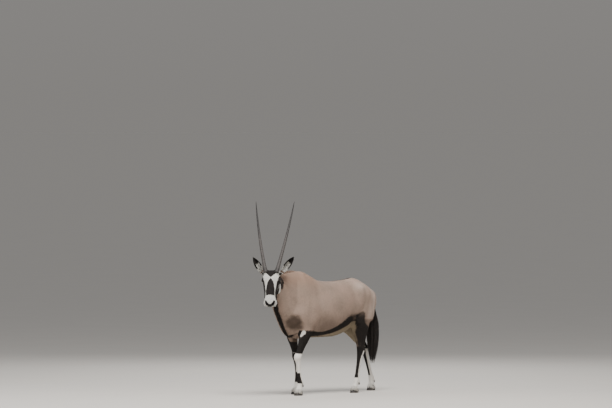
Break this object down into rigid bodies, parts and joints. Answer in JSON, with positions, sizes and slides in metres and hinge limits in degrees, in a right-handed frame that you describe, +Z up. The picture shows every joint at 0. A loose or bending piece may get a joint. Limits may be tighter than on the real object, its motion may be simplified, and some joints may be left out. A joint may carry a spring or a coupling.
{
  "type": "gemsbok, still life-size model",
  "caption": "Standing gemsbok with long straight ringed horns, head turned to its left, black and white face, flank stripe and long black tail.",
  "frame": {"origin": "centre of the bounding box's base, on the floor between the hooves", "axes": "+Z up, nose towards -Y, the animal's left towards +X"},
  "size_m": [0.611, 1.8668, 1.8817],
  "materials": {
    "coat": "short matt hair, pinkish grey fawn with black and white markings",
    "leg_coat": "short matt hair, black with white knees, cannons and pasterns",
    "face": "short matt hair, white with black patches, bare dark nose pad",
    "ear": "short matt hair, pale inside with a dark rim and tip",
    "eye": "wet dark brown",
    "horn": "ringed keratin, dark grey brown, smoother and darker to the tip",
    "hoof": "dark grey keratin",
    "tail_hair": "long black hair"
  },
  "bodies": {
    "root": {"torso": "coat", "neck": "coat", "head": "face", "ear_left": "ear", "ear_right": "ear", "eye_left": "eye", "eye_right": "eye", "horn_left": "horn", "horn_right": "horn", "tail": "tail_hair", "foreleg_left": "leg_coat", "hoof_foreleg_left_outer": "hoof", "dewclaw_foreleg_left_outer": "hoof", "hoof_foreleg_left_inner": "hoof", "dewclaw_foreleg_left_inner": "hoof", "foreleg_right": "leg_coat", "hoof_foreleg_right_outer": "hoof", "dewclaw_foreleg_right_outer": "hoof", "hoof_foreleg_right_inner": "hoof", "dewclaw_foreleg_right_inner": "hoof", "hindleg_left": "leg_coat", "hoof_hindleg_left_outer": "hoof", "dewclaw_hindleg_left_outer": "hoof", "hoof_hindleg_left_inner": "hoof", "dewclaw_hindleg_left_inner": "hoof", "hindleg_right": "leg_coat", "hoof_hindleg_right_outer": "hoof", "dewclaw_hindleg_right_outer": "hoof", "hoof_hindleg_right_inner": "hoof", "dewclaw_hindleg_right_inner": "hoof"}
  },
  "joints": []
}
